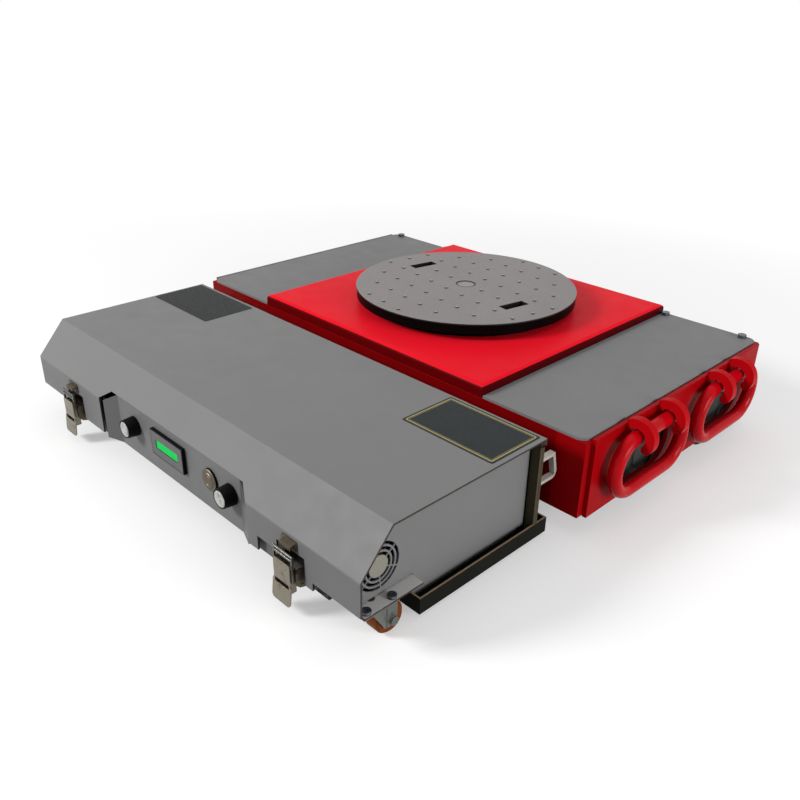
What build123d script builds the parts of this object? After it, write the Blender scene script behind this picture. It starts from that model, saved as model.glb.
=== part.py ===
from build123d import *
import os
from math import atan2, cos, degrees, hypot, pi, radians, sin, sqrt, tan

# Automated guided vehicle: a red load dolly with a turntable, led by a grey control box.
# Millimetres, Z up from the floor. X runs along the box, Y from the control panel to the dolly.
# Everything is drawn with X = 0 in the middle of the box and of the dolly, and Y = 0 on the front
# face of the hood. keep() then moves it so that the origin lies on the floor under the middle of
# the bounding box, which the lifting rings make longer at the right.

# Control box
box_length = 760.0
box_depth = 302.0
box_height = 150.0
crease_height = 99.0
chamfer_run = 45.0
hood_sheet = 2.5
hood_flange = 9.0
seal_gap = 0.8

# Lower edge of the hood's front lip, in steps along the box
lip_low = 42.0
lip_middle = 62.0
lip_corner = 53.0
lip_corner_run = 78.0
lip_notch_run = 20.0

# Notch in the hood over the control panel
notch_half = 181.0
notch_top_half = 161.0
notch_top = 112.0

# Tray: a shallow pan with a raised front floor and two shelves for the casters
tray_sheet = 2.5
pan_height = 6.0
pan_lip = 22.0
pan_rear_margin = 17.5
front_length = 88.0
front_floor_height = 36.0
front_wall_setback = 8.0
shelf_sheet = 2.5
shelf_length = 62.0
shelf_overhang = 2.0
corner_slope = 35.0
back_return = 5.0

# End panels with their fan grilles
panel_sheet = 2.0
end_recess = 16.0
end_panel_low = 22.0
plinth_step = 10.0
vent_y = 40.0
vent_height = 90.0
vent_disc_radius = 13.5
vent_slot = 3.8
vent_land = 2.4
vent_bridge = 1.6
vent_rings = 3
vent_turn = 36.0

# Control panel
panel_recess = 14.0
panel_half = 150.0
panel_mouth_left = 171.0
panel_mouth_right = 180.0
panel_mouth = 1.0
panel_low = 33.0
panel_end_rise = 5.0
panel_top = 110.0
panel_mouth_top = 98.0
control_height = 79.0
dial_left_x = -104.5
dial_right_x = 130.0
dial_radius = 14.5
dial_length = 17.5
dial_cap_radius = 11.0
dial_cap_height = 1.6
dial_shaft_radius = 3.0
meter_x = -13.0
meter_width = 80.0
meter_height = 38.0
meter_proud = 5.0
meter_border = 3.0
screen_width = 53.0
screen_height = 12.0
meter_body_depth = 26.0
button_x = 85.0
button_ring_radius = 15.5
button_ring_proud = 4.0
button_radius = 11.0
button_proud = 1.2
button_groove_radius = 6.5
button_thickness = 3.6
button_travel = 3.0
button_stem_radius = 4.0
button_stem_length = 18.0

# Toggle latches
latch_x = 264.0
latch_cutout_half = 25.0
latch_cutout_top = 78.0
latch_sheet = 1.5
base_half = 20.0
base_low = 38.0
base_top = 70.0
ear_inside = 18.5
ear_radius = 5.0
pivot_depth = 6.7
pivot_height = 58.0
pivot_radius = 1.6
rivet_radius = 1.6
rivet_head = 1.2
lever_half = 14.5
lever_face = 13.2
lever_top = 68.5
lever_bend = 42.0
lever_low = 13.0
lever_flare = 3.0
lever_tab_half = 16.5
lever_corner = 5.0
lever_slot_top = 41.0
lever_slot_low = 35.5
lever_slot_half = 13.0
lever_cheek_depth = 9.0
lever_cheek_low = 30.0
lever_turn = 110.0
bail_depth = 3.1
bail_pivot_height = 46.0
bail_bar_heights = (75.0, 80.0)
bail_bar_radius = 1.7
bail_arm = 2.2
bail_arm_gap = 0.6
bail_stub_radius = 1.5
keeper_half = 14.0
keeper_tongue_half = 10.0
keeper_plate_low = 81.0
keeper_top = 94.0
keeper_fold = 90.0
keeper_reach = 7.5
keeper_slope = 1.5
keeper_hook = 5.0
running_gap = 0.05

# Hood hinges
hinge_x = 220.0
hinge_height = 139.5
hinge_stand_off = 3.5
hinge_barrel_radius = 3.5
hinge_pin_radius = 1.5
hinge_leaf = 2.0
hinge_length = 60.0
hinge_leaf_height = 19.0
hinge_knuckle = 18.0
hinge_gap = 0.5

# Swivel casters under the front corners
caster_wheel_radius = 20.0
caster_wheel_width = 22.0
caster_trail = 20.0
caster_inset = 18.0
caster_pivot_y = 30.0
caster_plate_x = 38.0
caster_plate_y = 50.0
caster_plate_sheet = 2.5
caster_axle_radius = 3.0
kingpin_small_radius = 5.0
fork_sheet = 3.0
fork_foot = 6.0
fork_rib = 0.8
fork_gap = 1.2
swivel_gap = 0.3
caster_bolt_x = 14.0
caster_bolt_y = 18.5
caster_bolt_head = 5.5
caster_bolt_height = 4.0
caster_bolt_radius = 2.5

# Fans behind the grilles
fan_clearance = 1.5
fan_wall = 2.0
fan_depth = 15.0
fan_hub_radius = 12.0
fan_blades = 7
fan_tip_gap = 1.2
fan_cup = 3.0
fan_bearing_gap = 0.3
fan_face_gap = 1.0

# Inside the box
battery_length = 235.0
battery_depth = 165.0
battery_height = 105.0
battery_gap = 170.0
controller_length = 130.0
controller_depth = 105.0
controller_height = 48.0

# Dolly
dolly_gap = 40.0
dolly_length = 820.0
dolly_depth = 474.0
deck_height = 143.0
deck_sheet = 4.0
dolly_clearance = 30.0
skirt_thickness = 12.0
rail_thickness = 8.0
rail_gap = 8.0
rail_low = 40.0
edge_rail_height = 13.0
centre_plate_thickness = 12.0
centre_plate_drop = 4.0
cover_length = 484.0
cover_proud = 14.0
cover_sheet = 4.0
cover_round = 7.0
deck_gap = 1.0
deck_corner = 14.0
deck_inset = 3.0
deck_bolt_inset = 10.0
deck_bolt_radius = 7.0
deck_bolt_head = 5.5
deck_bolt_shank = 3.0

# End plates, their windows, hooks and rings
end_plate = 6.0
end_plate_low = 28.0
end_plate_top = 142.0
ring_spacing = 212.0
ring_shift = -6.0
ring_bar_height = 126.0
ring_stand_off = 15.5
ring_bar_radius = 9.5
ring_width = 166.0
ring_height = 76.0
window_length = 150.0
window_height = 66.0
window_middle = 79.0
hook_spacing_front = 78.0
hook_spacing_rear = 66.0
hook_shift_rear = -6.0
hook_thickness = 12.0
hook_gap = 3.5
hook_stock = 13.0
hook_tip_angle = -38.0
hook_seat_gap = 0.3
hook_jaw = 8.0
hook_jaw_angle = -98.0

# Load wheels and their drives
wheel_radius = 62.0
wheel_width = 60.0
wheel_gap = 4.0
wheelbase = 200.0
wheel_shift = 21.0
tyre_thickness = 14.0
hub_groove = 3.0
wheel_shaft_radius = 12.5
wheel_shaft_length = 84.0
gearbox_size = 76.0
gearbox_length = 78.0
motor_radius = 32.0
motor_length = 150.0
bearing_flange = 84.0
bearing_flange_sheet = 10.0
bearing_radius = 30.0
bearing_length = 54.0

# Turntable
turntable_radius = 184.5
turntable_top = 185.0
turntable_plate = 3.0
turntable_stiffener = 5.0
turntable_rim_height = 14.5
turntable_rim_width = 14.0
turntable_angle = -10.0
hub_outer = 104.0
hub_inner = 60.0
washer_thickness = 3.0
washer_land = 2.0
boss_height = 14.0
cover_hole_gap = 12.0
kingpin_radius = 15.0
kingpin_flange_radius = 28.0
kingpin_flange = 6.0
kingpin_recess = 1.0
slot_length = 48.0
slot_width = 18.0
slot_radius = 122.0
stud_pitch = 41.5
stud_radius = 3.4
stud_height = 2.2
stud_margin = 9.0

# Couplings between the box and the dolly
strap_low = 85.0
strap_top = 123.0
strap_reach = 24.0
strap_lean = 9.0
strap_width = 8.0
strap_thickness = 4.5
strap_corner = 9.0
coupling_bar_x = 250.0
coupling_bar_width = 30.0
coupling_bar_low = 10.0
coupling_bar_height = 16.0

# Places worked out from the sizes above
half_length = box_length / 2
end_face = half_length - end_recess
hood_clear = hood_sheet + seal_gap
back_face = box_depth - hood_clear
pan_rear = box_depth + pan_rear_margin
pan_floor = pan_height + tray_sheet
shelf_top = lip_corner - 1.0
pivot_y = pivot_depth - lever_face
bail_y = bail_depth - lever_face
shelf_low = shelf_top - shelf_sheet
shelf_inner = half_length + shelf_overhang - shelf_length
slope_rise = box_height - crease_height
slope_room = (slope_rise * vent_y - chamfer_run * (vent_height - crease_height)) / hypot(chamfer_run, slope_rise)
fan_radius = min(slope_room - hood_sheet, vent_height - shelf_top) - fan_clearance - fan_wall
wall_outer_y = front_wall_setback
wall_inner_y = front_wall_setback + panel_sheet
panel_back_y = panel_recess + panel_sheet
caster_x = half_length - caster_inset
caster_plate_low = shelf_low - caster_plate_sheet
crown_top = caster_plate_low - swivel_gap
crown_low = 2 * caster_wheel_radius + fork_gap + 0.3
wheel_y_small = caster_pivot_y + caster_trail
fork_inside = caster_wheel_width / 2 + fork_gap
fork_outside = fork_inside + fork_sheet
dolly_front = box_depth + dolly_gap
dolly_rear = dolly_front + dolly_depth
dolly_middle = dolly_front + dolly_depth / 2
dolly_half = dolly_length / 2
deck_under = deck_height - deck_sheet
cover_half = cover_length / 2
cover_top = deck_height + cover_proud
beam_outer = cover_half
end_face_dolly = dolly_half + end_plate
ring_x = end_face_dolly + ring_stand_off
hook_inner = ring_bar_radius + hook_gap
hook_outer = hook_inner + hook_stock
wheel_outer_x = dolly_half - wheel_gap
wheel_inner_x = wheel_outer_x - wheel_width
rail_x = wheel_inner_x - rail_gap - rail_thickness
wheel_rows = (dolly_middle + wheel_shift - wheelbase / 2, dolly_middle + wheel_shift + wheelbase / 2)
ring_middle = dolly_middle + ring_shift
ring_rows = (ring_middle - ring_spacing / 2, ring_middle + ring_spacing / 2)
hook_rows = ((ring_rows[0], hook_spacing_front), (ring_rows[1] + hook_shift_rear, hook_spacing_rear))
hub_radius = wheel_radius - tyre_thickness
centre_plate_top = deck_under - centre_plate_drop
centre_plate_low = centre_plate_top - centre_plate_thickness
boss_top = centre_plate_top + boss_height
washer_top = boss_top + washer_thickness
disc_under = turntable_top - turntable_plate
stiffener_under = disc_under - turntable_stiffener
rim_inner = turntable_radius - turntable_rim_width
hinge_y = box_depth + hinge_stand_off
panel_dial_y = panel_recess - dial_length
end_panel_front = front_length + tray_sheet + seal_gap
front_reach = lever_face + lever_flare
middle_x = (ring_x + hook_outer - end_face_dolly) / 2
middle_y = (dolly_rear - front_reach) / 2


def prism_x(points, x0, x1):
    """A flat outline in (Y, Z), from x0 to x1."""
    face = Plane.YZ.offset(x0) * make_face(Polyline(*points, close=True))
    return extrude(face, x1 - x0)


def prism_y(points, y0, y1):
    """A flat outline in (X, Z), from y0 to y1."""
    face = Plane.XZ.offset(-y1) * make_face(Polyline(*points, close=True))
    return extrude(face, y1 - y0)


def prism_z(points, z0, z1):
    """A flat outline in (X, Y), from z0 to z1."""
    face = Plane.XY.offset(z0) * make_face(Polyline(*points, close=True))
    return extrude(face, z1 - z0)


def block(x, y, z):
    """A box between two places on each axis."""
    size = (x[1] - x[0], y[1] - y[0], z[1] - z[0])
    return Pos((x[0] + x[1]) / 2, (y[0] + y[1]) / 2, (z[0] + z[1]) / 2) * Box(*size)


def rod(start, end, radius):
    """A round bar from one point to another."""
    run = Vector(*end) - Vector(*start)
    face = Plane(origin=start, z_dir=run) * Circle(radius)
    return extrude(face, run.length)


def turned(profile, axis):
    """A solid of revolution; the profile's points are (along the axis, out from it)."""
    if axis == "X":
        face = Plane.XZ * make_face(Polyline(*profile, close=True))
        return revolve(face, Axis.X)
    if axis == "Y":
        face = Plane.XY * make_face(Polyline(*[(out, along) for along, out in profile], close=True))
        return revolve(face, Axis.Y)
    face = Plane.XZ * make_face(Polyline(*[(out, along) for along, out in profile], close=True))
    return revolve(face, Axis.Z)


def other_side(shape):
    """The same piece on the other end of the vehicle."""
    return mirror(shape, about=Plane.YZ)


def inset(path, distance):
    """An open line moved to its right by a distance, with mitred corners."""
    directions = []
    for (y0, z0), (y1, z1) in zip(path, path[1:]):
        run = hypot(y1 - y0, z1 - z0)
        directions.append(((y1 - y0) / run, (z1 - z0) / run))
    moved = []
    for index, (y, z) in enumerate(path):
        before = directions[max(index - 1, 0)]
        after = directions[min(index, len(directions) - 1)]
        normal = (before[1] + after[1], -(before[0] + after[0]))
        scale = distance * 2 / (normal[0] ** 2 + normal[1] ** 2)
        moved.append((y + normal[0] * scale, z + normal[1] * scale))
    return moved


def folded(path, thickness, x0, x1):
    """Sheet folded along a line in (Y, Z), with its thickness to the right of the line."""
    return prism_x(path + inset(path, thickness)[::-1], x0, x1)


kept = {}


def keep(name, shape):
    """Store a sub-part in the vehicle's own frame."""
    kept[name] = Pos(-middle_x, -middle_y, 0) * shape


# Control box

def hood_line():
    """The hood's outer line from the lip's lowest edge, over the top, to the back."""
    return [(0, lip_low - hood_flange), (0, crease_height), (chamfer_run, box_height),
            (box_depth, box_height), (box_depth, box_height - hood_flange)]


def lip_cut():
    """What is cut away below the stepped lower edge of the lip."""
    far = half_length + 1
    deep = lip_low - 2 * hood_flange
    steps = [(-far, deep)]
    for side, start, level in ((-1, -far, lip_corner), (1, notch_half + lip_notch_run, lip_middle)):
        middle = side * latch_x
        if side > 0:
            steps += [(start, lip_low)]
        steps += [(start, level), (middle - latch_cutout_half, level), (middle - latch_cutout_half, latch_cutout_top),
                  (middle + latch_cutout_half, latch_cutout_top), (middle + latch_cutout_half, lip_low)]
    corner = half_length - lip_corner_run
    steps += [(corner, lip_low), (corner, lip_corner), (far, lip_corner), (far, deep)]
    return prism_y(steps, -1, hood_flange + 1)


def notch_cut():
    """The opening in the lip and the sloped front over the control panel."""
    slope_y = chamfer_run * (notch_top - crease_height) / (box_height - crease_height)
    outline = [(-notch_half, 0), (-notch_half, crease_height), (-notch_top_half, notch_top),
               (notch_top_half, notch_top), (notch_half, crease_height), (notch_half, 0)]
    return prism_y(outline, -1, slope_y + 3 * hood_sheet)


def hinge_barrel(x0, x1, radius):
    return rod((x0, hinge_y, hinge_height), (x1, hinge_y, hinge_height), radius)


def hood_leaf(middle):
    """The hood's half of a hinge: one knuckle and its leaf on the hood's back flange."""
    half = hinge_knuckle / 2 - hinge_gap
    flange_low = box_height - hood_flange
    leaf = block((middle - hinge_length / 2, middle + hinge_length / 2),
                 (box_depth, box_depth + hinge_leaf),
                 (flange_low + hinge_leaf, box_height - 1))
    neck = block((middle - half, middle + half), (box_depth, hinge_y),
                 (hinge_height, flange_low + 2 * hinge_leaf))
    knuckle = hinge_barrel(middle - half, middle + half, hinge_barrel_radius)
    bore = hinge_barrel(middle - hinge_length, middle + hinge_length, hinge_pin_radius + running_gap)
    return leaf + neck + knuckle - bore


def back_leaf(middle):
    """The fixed half of a hinge: two outer knuckles, the pin and the leaf on the back panel."""
    leaf = block((middle - hinge_length / 2, middle + hinge_length / 2),
                 (back_face, back_face + hinge_leaf),
                 (hinge_height - hinge_leaf_height, hinge_height - hinge_leaf))
    shape = leaf + hinge_barrel(middle - hinge_length / 2, middle + hinge_length / 2, hinge_pin_radius)
    for x0, x1 in ((middle - hinge_length / 2, middle - hinge_knuckle / 2),
                   (middle + hinge_knuckle / 2, middle + hinge_length / 2)):
        shape += hinge_barrel(x0, x1, hinge_barrel_radius)
        shape += block((x0, x1), (back_face, hinge_y),
                       (hinge_height - hinge_barrel_radius, hinge_height - hinge_leaf / 2))
    return shape


def make_hood():
    """Folded hood: lip, sloped front, top and back flange."""
    shape = folded(hood_line(), hood_sheet, -half_length, half_length)
    shape = shape - lip_cut() - notch_cut()
    return shape + hood_leaf(hinge_x) + hood_leaf(-hinge_x)


def make_base_tray():
    """Black pan: floor, side and rear lips, and the tall front wall that carries the shelves."""
    lip_top = pan_height + pan_lip
    side = (front_length, pan_rear)
    shape = block((-half_length, half_length), side, (pan_height, pan_floor))
    front = (front_length, front_length + tray_sheet)
    shape += block((-half_length, half_length), front, (pan_height, lip_top))
    shape += block((-end_face, end_face), front, (pan_height, shelf_low))
    shape += block((-half_length, half_length), (pan_rear - tray_sheet, pan_rear), (pan_height, lip_top))
    for x0 in (-half_length, half_length - tray_sheet):
        shape += block((x0, x0 + tray_sheet), side, (pan_height, lip_top))
    return shape


def make_front_frame():
    """Raised front floor, the two caster shelves and the front walls behind the hood's lip."""
    shape = block((-shelf_inner, shelf_inner), (panel_back_y, front_length),
                  (front_floor_height, front_floor_height + tray_sheet))
    return shape + front_frame_end(panel_mouth_right) + other_side(front_frame_end(panel_mouth_left))


def front_frame_end(mouth):
    """One end of the front frame, from the control panel's mouth to the caster shelf."""
    floor_top = front_floor_height + tray_sheet
    inner = shelf_inner
    start = mouth + seal_gap
    corner = half_length - lip_corner_run
    bolt_side = caster_x - caster_bolt_x - caster_bolt_head
    wall_end = min(end_face - panel_sheet - fan_depth, bolt_side) - seal_gap
    outline = [(start, front_floor_height), (corner, front_floor_height),
               (corner + corner_slope, shelf_low), (wall_end, shelf_low),
               (wall_end, crease_height - hood_clear), (start, crease_height - hood_clear)]
    half = prism_y(outline, wall_outer_y, wall_inner_y)
    half += block((start, inner), (wall_outer_y, panel_back_y + tray_sheet), (front_floor_height, floor_top))
    half += block((inner, half_length + shelf_overhang), (wall_outer_y / 2, front_length + tray_sheet),
                  (shelf_low, shelf_top))
    half += block((inner - tray_sheet, inner), (wall_outer_y, front_length), (front_floor_height, shelf_top))
    for bolt_x, bolt_y in caster_bolt_places():
        half -= rod((bolt_x, bolt_y, 0), (bolt_x, bolt_y, shelf_top + 1), caster_bolt_radius)
    return half - rod((caster_x, caster_pivot_y, 0), (caster_x, caster_pivot_y, shelf_top + 1),
                      kingpin_small_radius)


def make_back_panel():
    """Upright back panel with a folded return at each end, and the fixed hinge halves."""
    inside = half_length - hood_sheet - seal_gap
    top = box_height - hood_clear
    return_low = pan_height + pan_lip
    return_top = box_height - hood_flange - 2 * seal_gap
    sheet = (back_face - tray_sheet, back_face)
    pan_inside = half_length - tray_sheet - seal_gap
    shape = block((-pan_inside, pan_inside), sheet, (pan_floor, return_low + tray_sheet))
    shape += block((-inside, inside), sheet, (return_low, top))
    for side in (-1, 1):
        end = side * half_length
        x = sorted((end, end - side * (hood_sheet + 2 * seal_gap)))
        shape += block(x, sheet, (return_low, return_top))
        x = sorted((end, end - side * tray_sheet))
        shape += block(x, (back_face - back_return, back_face), (return_low, return_top))
    return shape + back_leaf(hinge_x) + back_leaf(-hinge_x)


def vent_cutter():
    """Three rings of slots around a closed disc, broken by six bridges in line."""
    cutter = None
    inner = vent_disc_radius
    for ring in range(vent_rings):
        outer = inner + vent_slot
        band = Circle(outer) - Circle(inner)
        cutter = band if cutter is None else cutter + band
        inner = outer + vent_land
    for turn in range(3):
        cutter -= Rot(0, 0, vent_turn + 60 * turn) * Rectangle(4 * fan_radius, vent_bridge)
    plane = Plane.YZ.offset(end_face - 2 * panel_sheet)
    return extrude(plane * (Pos(vent_y, vent_height) * cutter), 4 * panel_sheet)


def end_panel_outline():
    """The end panel's outline in (Y, Z), just inside the hood's folds."""
    line = inset(hood_line(), hood_clear)
    low_front = shelf_top + 2 * seal_gap
    rear = back_face - back_return - tray_sheet
    top = line[2][1]
    return [(line[0][0], low_front), line[1], line[2], (rear, top), (rear, end_panel_low),
            (end_panel_front, end_panel_low), (end_panel_front, low_front)]


def make_end_panel():
    """Right end panel with its fan grille and the plinth that stands it in the pan."""
    shape = prism_x(end_panel_outline(), end_face - panel_sheet, end_face)
    rear = back_face - back_return - tray_sheet
    step = end_face - plinth_step
    y = (end_panel_front, rear)
    shape += block((step, end_face), y, (end_panel_low, end_panel_low + panel_sheet))
    shape += block((step, step + panel_sheet), y, (pan_floor, end_panel_low + panel_sheet))
    return shape - vent_cutter()


# Control panel and what is on it

def make_control_panel():
    """Recessed panel with splayed ends, and its holes for the meter, the button and the dials."""
    path = [(-panel_mouth_left, panel_mouth), (-panel_half, panel_recess),
            (panel_half, panel_recess), (panel_mouth_right, panel_mouth)]
    back = [(x, y) for x, y in inset(path, -panel_sheet)]
    shape = prism_z(path + back[::-1], panel_low, panel_top)
    for side, mouth in ((-1, panel_mouth_left), (1, panel_mouth_right)):
        bend = side * panel_half
        end = side * (2 * mouth - panel_half)
        top = panel_top - 2 * (panel_top - panel_mouth_top)
        above = [(bend, panel_top), (end, top), (end, 2 * panel_top), (bend, 2 * panel_top)]
        below = [(bend, panel_low), (end, panel_low + 2 * panel_end_rise), (end, 0), (bend, 0)]
        shape -= prism_y(above, -panel_recess, 2 * panel_back_y)
        shape -= prism_y(below, -panel_recess, 2 * panel_back_y)
    y = (panel_recess - 1, panel_back_y + 1)
    shape -= block((meter_x - meter_width / 2 + 2 * meter_border, meter_x + meter_width / 2 - 2 * meter_border),
                   y, (control_height - meter_height / 2 + meter_border,
                       control_height + meter_height / 2 - meter_border))
    shape -= rod((button_x, y[0], control_height), (button_x, y[1], control_height),
                 button_radius + 2.2)
    for x in (dial_left_x, dial_right_x):
        shape -= rod((x, y[0], control_height), (x, y[1], control_height), dial_shaft_radius + running_gap)
    return shape


def make_meter_bezel():
    """Black meter case, proud of the panel, with a pocket for its screen."""
    half_x = meter_width / 2
    half_z = meter_height / 2
    face = panel_recess - meter_proud
    shape = block((meter_x - half_x, meter_x + half_x), (face, panel_recess),
                  (control_height - half_z, control_height + half_z))
    back_x = half_x - 2 * meter_border - 0.2
    back_z = half_z - meter_border - 0.2
    shape += block((meter_x - back_x, meter_x + back_x), (panel_recess, panel_recess + meter_body_depth),
                   (control_height - back_z, control_height + back_z))
    pocket_x = half_x - meter_border
    pocket_z = half_z - meter_border
    shape -= block((meter_x - pocket_x, meter_x + pocket_x), (face - 1, face + 0.8),
                   (control_height - pocket_z, control_height + pocket_z))
    shape -= screen_block(face + 0.8, face + 0.8 + 1.5)
    return shape


def screen_block(y0, y1):
    return block((meter_x - screen_width / 2, meter_x + screen_width / 2), (y0, y1),
                 (control_height - screen_height / 2, control_height + screen_height / 2))


def make_meter_screen():
    face = panel_recess - meter_proud
    return screen_block(face + 0.4, face + 0.8 + 1.5)


def make_button_bezel():
    """Metal ring on the panel, with the barrel that guides the button."""
    face = panel_recess - button_ring_proud
    pocket = button_radius + 0.3
    pocket_end = panel_recess - button_ring_proud - button_proud + button_thickness + button_travel + 0.5
    barrel = button_radius + 2.0
    rear = panel_recess + button_stem_length - 4
    profile = [(face, pocket), (face, button_ring_radius - 1), (face + 1, button_ring_radius),
               (panel_recess, button_ring_radius), (panel_recess, barrel), (rear, barrel),
               (rear, button_stem_radius + running_gap), (pocket_end, button_stem_radius + running_gap),
               (pocket_end, pocket)]
    return Pos(button_x, 0, control_height) * turned(profile, "Y")


def make_push_button():
    """Domed metal button on a stem."""
    face = panel_recess - button_ring_proud - button_proud
    end = face + button_thickness
    groove = button_groove_radius
    profile = [(face, 0), (face, groove - 0.6), (face + 0.6, groove), (face, groove + 0.6),
               (face, button_radius - 1.2), (face + 1.2, button_radius), (end, button_radius),
               (end, button_stem_radius), (panel_recess + button_stem_length, button_stem_radius),
               (panel_recess + button_stem_length, 0)]
    return Pos(button_x, 0, control_height) * turned(profile, "Y")


def make_dial(x):
    """Dial body: a short taper with a chamfered face, and its shaft through the panel."""
    face = panel_dial_y
    foot = panel_recess - 0.4
    profile = [(face + dial_cap_height, 0), (face + dial_cap_height, dial_cap_radius + 0.6),
               (face + 0.6, dial_cap_radius + 0.8), (face, dial_cap_radius + 1.6), (face + 1.6, dial_radius - 1.2),
               (foot, dial_radius), (foot, dial_shaft_radius), (panel_back_y + 8, dial_shaft_radius),
               (panel_back_y + 8, 0)]
    return Pos(x, 0, control_height) * turned(profile, "Y")


def make_dial_cap(x):
    """Pale cap let into the dial's face."""
    face = panel_dial_y - 0.6
    end = panel_dial_y + dial_cap_height
    profile = [(face, 0), (face, dial_cap_radius - 1.5), (face + 0.8, dial_cap_radius), (end, dial_cap_radius),
               (end, 0)]
    cap = turned(profile, "Y")
    mark = block((-0.7, 0.7), (face - 1, face + 0.5), (dial_cap_radius * 0.25, dial_cap_radius))
    return Pos(x, 0, control_height) * (cap - mark)


# Toggle latches

def make_latch_base(x):
    """Latch base: a riveted back plate and two ears with the short pivots that carry the lever."""
    face = wall_outer_y - latch_sheet
    ear_outside = ear_inside + latch_sheet
    shape = block((-base_half, base_half), (face, wall_outer_y), (base_low, base_top))
    front = pivot_y - pivot_radius
    outline = [(wall_outer_y, base_low), (face, base_low - ear_radius / 2), (front + ear_radius, base_low),
               (front, base_low + ear_radius), (front, pivot_height + pivot_radius),
               (pivot_y, pivot_height + ear_radius), (wall_outer_y, pivot_height + ear_radius)]
    for side in (-1, 1):
        x0, x1 = sorted((side * ear_inside, side * ear_outside))
        shape += prism_x(outline, x0, x1)
        head = side * (ear_outside + rivet_head)
        inner = side * (lever_half - latch_sheet - 0.3)
        shape += rod((inner, pivot_y, pivot_height), (head, pivot_y, pivot_height), pivot_radius)
        for rivet_y, rivet_z in ((pivot_y, pivot_height), (0, base_low + 2 * rivet_radius)):
            start = side * ear_outside
            shape += rod((start, rivet_y, rivet_z), (head, rivet_y, rivet_z), rivet_radius)
    return Pos(x, 0, 0) * shape


def make_latch_lever(x):
    """Lever: a closed channel with a wider tab and a slot, hung between the base's ears."""
    face = -lever_face
    inner = face + latch_sheet
    outline = [(face, lever_top), (inner, lever_top), (inner, lever_bend),
               (inner - lever_flare, lever_low), (face - lever_flare, lever_low), (face, lever_bend)]
    shape = prism_x(outline, -lever_tab_half, lever_tab_half)
    front = Pos(0, (lever_top + lever_cheek_low) / 2) * RectangleRounded(
        2 * lever_half, lever_top - lever_cheek_low, lever_corner / 2)
    front += Pos(0, (lever_bend + lever_low) / 2) * RectangleRounded(
        2 * lever_tab_half, lever_bend - lever_low, lever_corner)
    front -= Pos(0, (lever_slot_top + lever_slot_low) / 2) * RectangleRounded(
        2 * lever_slot_half, lever_slot_top - lever_slot_low, lever_corner / 2)
    shape = shape & extrude(Plane.XZ * front, 3 * lever_face)
    back = face + lever_cheek_depth
    shape += block((-lever_half, lever_half), (back - latch_sheet, back), (lever_cheek_low, bail_pivot_height))
    for side in (-1, 1):
        x0, x1 = sorted((side * (lever_half - latch_sheet), side * lever_half))
        cheek = block((x0, x1), (face, back), (lever_cheek_low, pivot_height + 4))
        cheek -= rod((x0 - 1, pivot_y, pivot_height), (x1 + 1, pivot_y, pivot_height), pivot_radius + running_gap)
        cheek -= rod((x0 - 1, bail_y, bail_pivot_height), (x1 + 1, bail_y, bail_pivot_height),
                     bail_stub_radius + running_gap)
        shape += cheek
    return Pos(x, 0, 0) * shape


def make_latch_bail(x):
    """Bail: two arms outside the lever, two round bars across them, and stubs that turn in the lever."""
    arm_inside = lever_half + bail_arm_gap
    arm_outside = arm_inside + bail_arm
    top = bail_bar_heights[-1]
    shape = None
    for height in bail_bar_heights:
        bar = rod((-arm_outside, bail_y, height), (arm_outside, bail_y, height), bail_bar_radius)
        shape = bar if shape is None else shape + bar
    for side in (-1, 1):
        x0, x1 = sorted((side * arm_inside, side * arm_outside))
        width = bail_bar_radius * 0.8
        shape += block((x0, x1), (bail_y - width, bail_y + width), (bail_pivot_height, top))
        shape += rod((x0, bail_y, bail_pivot_height), (x1, bail_y, bail_pivot_height), width)
        shape += rod((side * (lever_half - latch_sheet - 0.3), bail_y, bail_pivot_height),
                     (side * arm_inside, bail_y, bail_pivot_height), bail_stub_radius)
    return Pos(x, 0, 0) * shape


def make_keeper(x):
    """Keeper: a bent plate on the hood's lip, with a tongue turned down in front of the bail's bars."""
    plate = Pos(0, (keeper_top + keeper_plate_low) / 2) * RectangleRounded(
        2 * keeper_half, keeper_top - keeper_plate_low, 2 * latch_sheet)
    shape = extrude(Plane.XZ * plate, latch_sheet)
    tongue = [(-latch_sheet / 2, keeper_fold), (-keeper_reach, keeper_fold - keeper_slope),
              (-keeper_reach, keeper_fold - keeper_slope - keeper_hook)]
    return Pos(x, 0, 0) * (shape + folded(tongue, -latch_sheet, -keeper_tongue_half, keeper_tongue_half))


# Swivel casters

def caster_bolt_places():
    return [(caster_x + sx * caster_bolt_x, caster_pivot_y + sy * caster_bolt_y)
            for sx in (-1, 1) for sy in (-1, 1)]


def make_caster_plate():
    """Caster's top plate with the riveted kingpin that the fork turns on."""
    half_x = caster_plate_x / 2
    half_y = caster_plate_y / 2
    shape = block((caster_x - half_x, caster_x + half_x), (caster_pivot_y - half_y, caster_pivot_y + half_y),
                  (caster_plate_low, shelf_low))
    shape += rod((caster_x, caster_pivot_y, crown_low - swivel_gap), (caster_x, caster_pivot_y, shelf_top),
                 kingpin_small_radius)
    shape += rod((caster_x, caster_pivot_y, crown_low - swivel_gap - 1.5),
                 (caster_x, caster_pivot_y, crown_low - swivel_gap), kingpin_small_radius + 2)
    for x, y in caster_bolt_places():
        shape -= rod((x, y, 0), (x, y, shelf_top), caster_bolt_radius)
    return shape


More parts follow.
